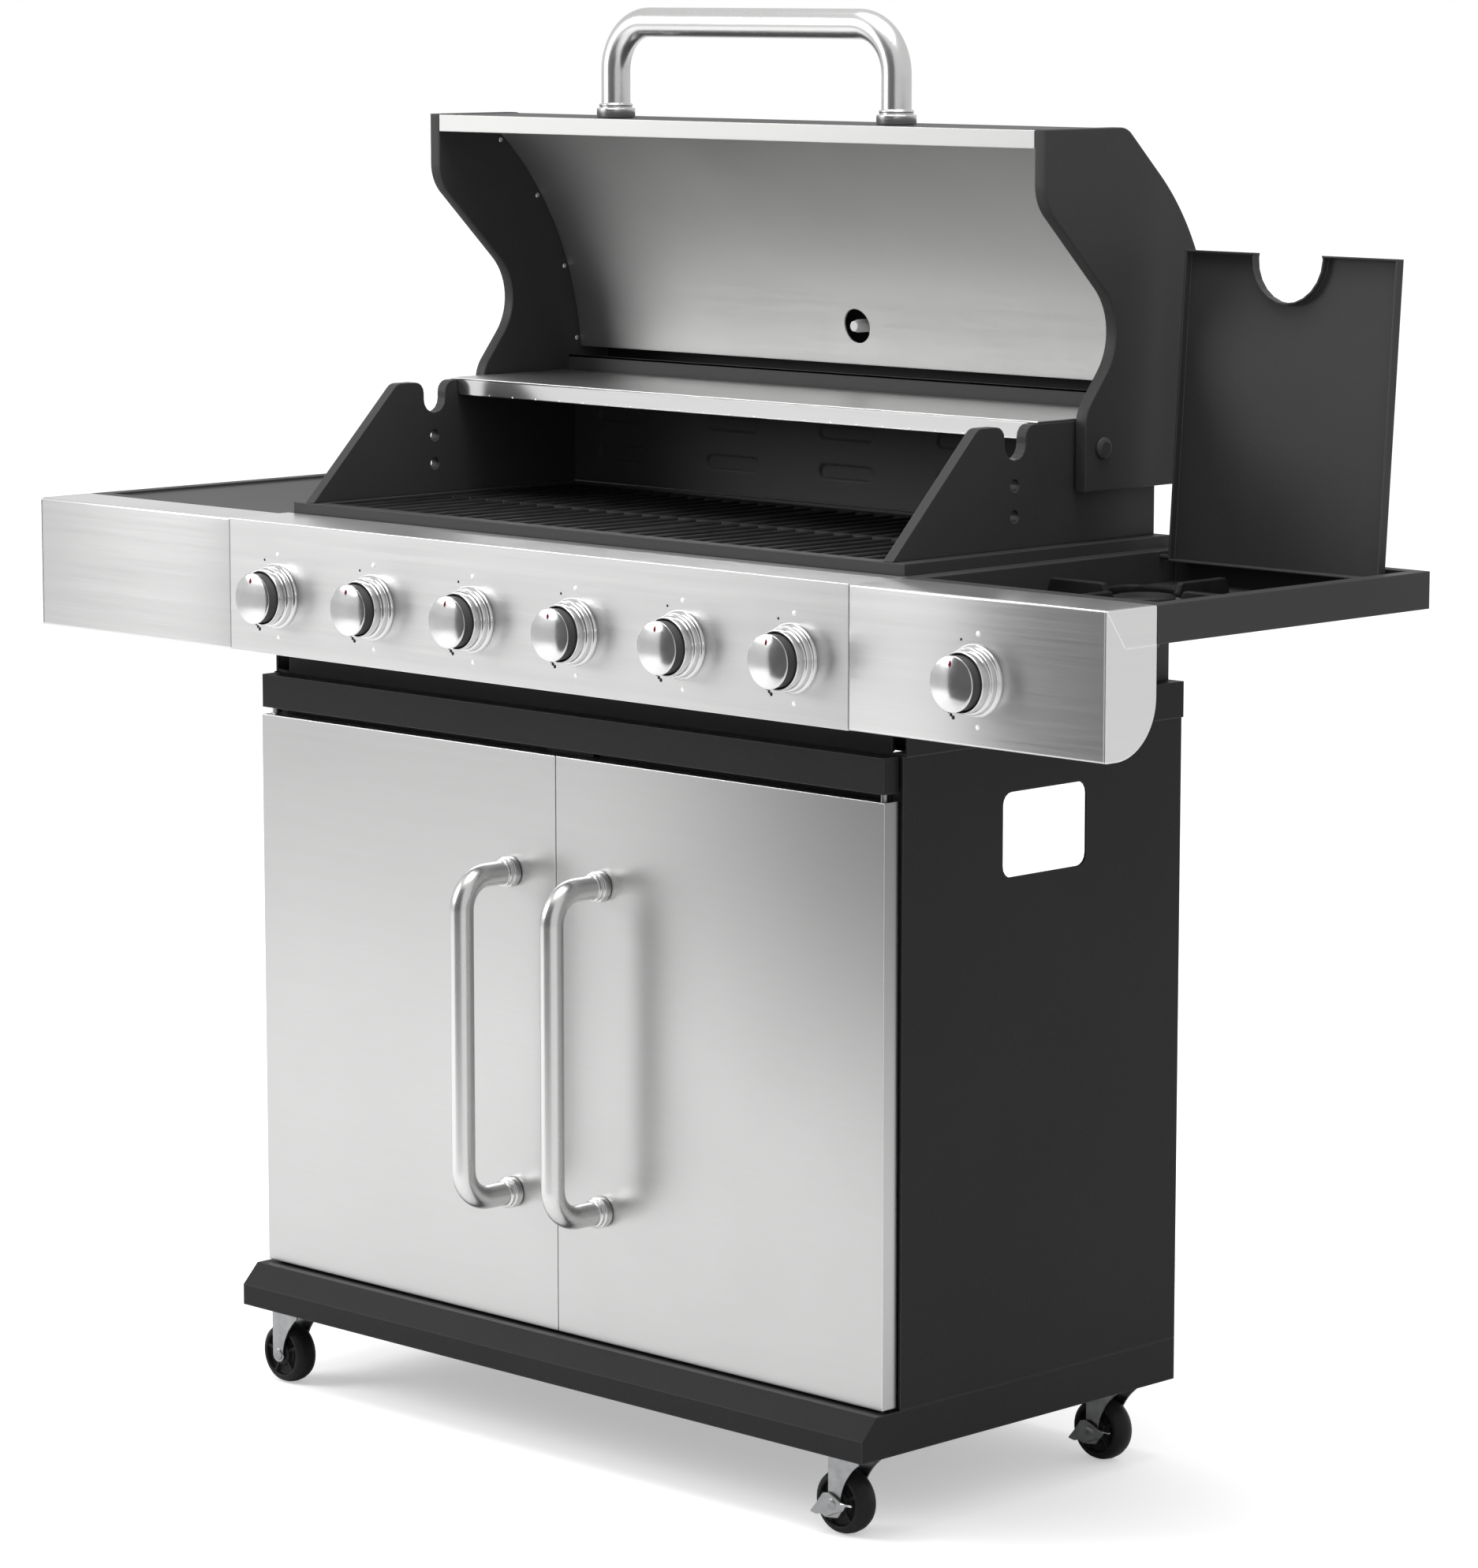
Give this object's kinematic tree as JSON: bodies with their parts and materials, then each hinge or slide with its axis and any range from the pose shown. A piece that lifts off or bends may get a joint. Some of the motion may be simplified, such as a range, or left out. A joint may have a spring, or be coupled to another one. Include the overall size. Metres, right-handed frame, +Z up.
{
  "type": "gas barbecue grill",
  "caption": "Free-standing gas barbecue on a wheeled cabinet cart, with hinged hood, warming rack, cooking grates, control knobs, two doors, side shelves and a lidded side burner.",
  "frame": {"origin": "middle of the grill's footprint, on the floor the casters stand on", "axes": "+X to the right of the cook, along the grill's length; +Y to the back; +Z up"},
  "size_m": [1.4, 0.5292, 1.3317],
  "materials": {
    "black_steel": "satin black powder coat",
    "stainless": "brushed along its length",
    "satin_tube": "satin polished tube",
    "chrome": "bright plated",
    "zinc": "zinc plated pressed steel",
    "cast_iron": "matt black enamel",
    "wheel_plastic": "moulded black"
  },
  "bodies": {
    "cart": {"base_pan": "black_steel", "side_panel_left": "black_steel", "side_panel_right": "black_steel", "rear_panel": "black_steel", "rear_rail": "black_steel", "front_beam": "black_steel", "side_shelf_left": "black_steel", "side_shelf_right": "black_steel", "firebox": "black_steel", "firebox_wall_left": "black_steel", "firebox_wall_right": "black_steel", "firebox_back": "black_steel", "control_panel": "stainless", "fascia_left": "stainless", "fascia_right": "stainless", "burner_1": "stainless", "burner_2": "stainless", "burner_3": "stainless", "burner_4": "stainless", "burner_5": "stainless", "burner_6": "stainless", "flame_tamer_1": "stainless", "flame_tamer_2": "stainless", "flame_tamer_3": "stainless", "gas_manifold": "zinc", "side_burner": "cast_iron", "door_stop": "black_steel"},
    "hood": {"hood_side_left": "black_steel", "hood_side_right": "black_steel", "hood_skin": "black_steel", "hood_liner": "stainless", "hood_handle": "satin_tube", "hood_thermometer": "chrome"},
    "door_left": {"door_left": "stainless", "door_handle_left": "satin_tube"},
    "door_right": {"door_right": "stainless", "door_handle_right": "satin_tube"},
    "side_burner_lid": {"side_burner_lid": "black_steel"},
    "grease_tray": {"grease_tray": "stainless"},
    "warming_rack": {"warming_rack": "stainless"},
    "cooking_grate_left": {"cooking_grate_left": "cast_iron"},
    "cooking_grate_right": {"cooking_grate_right": "cast_iron"},
    "pan_support": {"pan_support": "cast_iron"},
    "knob_1": {"knob_1": "chrome"},
    "knob_2": {"knob_2": "chrome"},
    "knob_3": {"knob_3": "chrome"},
    "knob_4": {"knob_4": "chrome"},
    "knob_5": {"knob_5": "chrome"},
    "knob_6": {"knob_6": "chrome"},
    "knob_7": {"knob_7": "chrome"},
    "caster_front_left": {"caster_fork_front_left": "zinc"},
    "wheel_front_left": {"caster_wheel_front_left": "wheel_plastic"},
    "caster_front_right": {"caster_fork_front_right": "zinc"},
    "wheel_front_right": {"caster_wheel_front_right": "wheel_plastic"},
    "caster_back_left": {"caster_fork_back_left": "zinc"},
    "wheel_back_left": {"caster_wheel_back_left": "wheel_plastic"},
    "caster_back_right": {"caster_fork_back_right": "zinc"},
    "wheel_back_right": {"caster_wheel_back_right": "wheel_plastic"},
    "brake_front_right": {"caster_brake_front_right": "zinc"},
    "brake_back_right": {"caster_brake_back_right": "zinc"}
  },
  "joints": [
    {"name": "hood_hinge", "type": "hinge", "parent": "cart", "child": "hood", "pos_m": [0, 0.10485, 0.9436], "axis": [1, 0, 0], "range_deg": [0, 90]},
    {"name": "side_burner_lid_hinge", "type": "hinge", "parent": "cart", "child": "side_burner_lid", "pos_m": [0.5525, 0.16235, 0.8435], "axis": [1, 0, 0], "range_deg": [0, 94]},
    {"name": "door_left_hinge", "type": "hinge", "parent": "cart", "child": "door_left", "pos_m": [-0.404, -0.18075, 0.385], "axis": [0, 0, -1], "range_deg": [0, 100]},
    {"name": "door_right_hinge", "type": "hinge", "parent": "cart", "child": "door_right", "pos_m": [0.404, -0.18075, 0.385], "axis": [0, 0, 1], "range_deg": [0, 100]},
    {"name": "knob_1_turn", "type": "hinge", "parent": "cart", "child": "knob_1", "pos_m": [-0.3415, -0.23265, 0.7782], "axis": [0, -1, 0], "range_deg": [0, 130]},
    {"name": "knob_2_turn", "type": "hinge", "parent": "cart", "child": "knob_2", "pos_m": [-0.2049, -0.23265, 0.7782], "axis": [0, -1, 0], "range_deg": [0, 130]},
    {"name": "knob_3_turn", "type": "hinge", "parent": "cart", "child": "knob_3", "pos_m": [-0.0683, -0.23265, 0.7782], "axis": [0, -1, 0], "range_deg": [0, 130]},
    {"name": "knob_4_turn", "type": "hinge", "parent": "cart", "child": "knob_4", "pos_m": [0.0683, -0.23265, 0.7782], "axis": [0, -1, 0], "range_deg": [0, 130]},
    {"name": "knob_5_turn", "type": "hinge", "parent": "cart", "child": "knob_5", "pos_m": [0.2049, -0.23265, 0.7782], "axis": [0, -1, 0], "range_deg": [0, 130]},
    {"name": "knob_6_turn", "type": "hinge", "parent": "cart", "child": "knob_6", "pos_m": [0.3415, -0.23265, 0.7782], "axis": [0, -1, 0], "range_deg": [0, 130]},
    {"name": "knob_7_turn", "type": "hinge", "parent": "cart", "child": "knob_7", "pos_m": [0.5555, -0.23265, 0.7782], "axis": [0, -1, 0], "range_deg": [0, 130]},
    {"name": "caster_front_left_swivel", "type": "hinge", "parent": "cart", "child": "caster_front_left", "pos_m": [-0.358, -0.19615, 0.08], "axis": [0, 0, 1], "continuous": true},
    {"name": "wheel_front_left_spin", "type": "hinge", "parent": "caster_front_left", "child": "wheel_front_left", "pos_m": [-0.376, -0.19615, 0.0295], "axis": [0, 1, 0], "continuous": true},
    {"name": "caster_front_right_swivel", "type": "hinge", "parent": "cart", "child": "caster_front_right", "pos_m": [0.394, -0.19615, 0.08], "axis": [0, 0, 1], "continuous": true},
    {"name": "wheel_front_right_spin", "type": "hinge", "parent": "caster_front_right", "child": "wheel_front_right", "pos_m": [0.376, -0.19615, 0.0295], "axis": [0, 1, 0], "continuous": true},
    {"name": "caster_back_left_swivel", "type": "hinge", "parent": "cart", "child": "caster_back_left", "pos_m": [-0.358, 0.14885, 0.08], "axis": [0, 0, 1], "continuous": true},
    {"name": "wheel_back_left_spin", "type": "hinge", "parent": "caster_back_left", "child": "wheel_back_left", "pos_m": [-0.376, 0.14885, 0.0295], "axis": [0, 1, 0], "continuous": true},
    {"name": "caster_back_right_swivel", "type": "hinge", "parent": "cart", "child": "caster_back_right", "pos_m": [0.394, 0.14885, 0.08], "axis": [0, 0, 1], "continuous": true},
    {"name": "wheel_back_right_spin", "type": "hinge", "parent": "caster_back_right", "child": "wheel_back_right", "pos_m": [0.376, 0.14885, 0.0295], "axis": [0, 1, 0], "continuous": true},
    {"name": "brake_front_right_pedal", "type": "hinge", "parent": "caster_front_right", "child": "brake_front_right", "pos_m": [0.376, -0.21285, 0.0295], "axis": [0, 1, 0], "range_deg": [0, 15]},
    {"name": "brake_back_right_pedal", "type": "hinge", "parent": "caster_back_right", "child": "brake_back_right", "pos_m": [0.376, 0.13215, 0.0295], "axis": [0, 1, 0], "range_deg": [0, 15]},
    {"name": "grease_tray_slide", "type": "slide", "parent": "cart", "child": "grease_tray", "axis": [0, 1, 0], "range_m": [0, 0.3]},
    {"name": "warming_rack_lift", "type": "slide", "parent": "cart", "child": "warming_rack", "axis": [0, 0, 1], "range_m": [0, 0.05]},
    {"name": "cooking_grate_left_lift", "type": "slide", "parent": "cart", "child": "cooking_grate_left", "axis": [0, 0, 1], "range_m": [0, 0.06]},
    {"name": "cooking_grate_right_lift", "type": "slide", "parent": "cart", "child": "cooking_grate_right", "axis": [0, 0, 1], "range_m": [0, 0.06]},
    {"name": "pan_support_lift", "type": "slide", "parent": "cart", "child": "pan_support", "axis": [0, 0, 1], "range_m": [0, 0.05]}
  ]
}
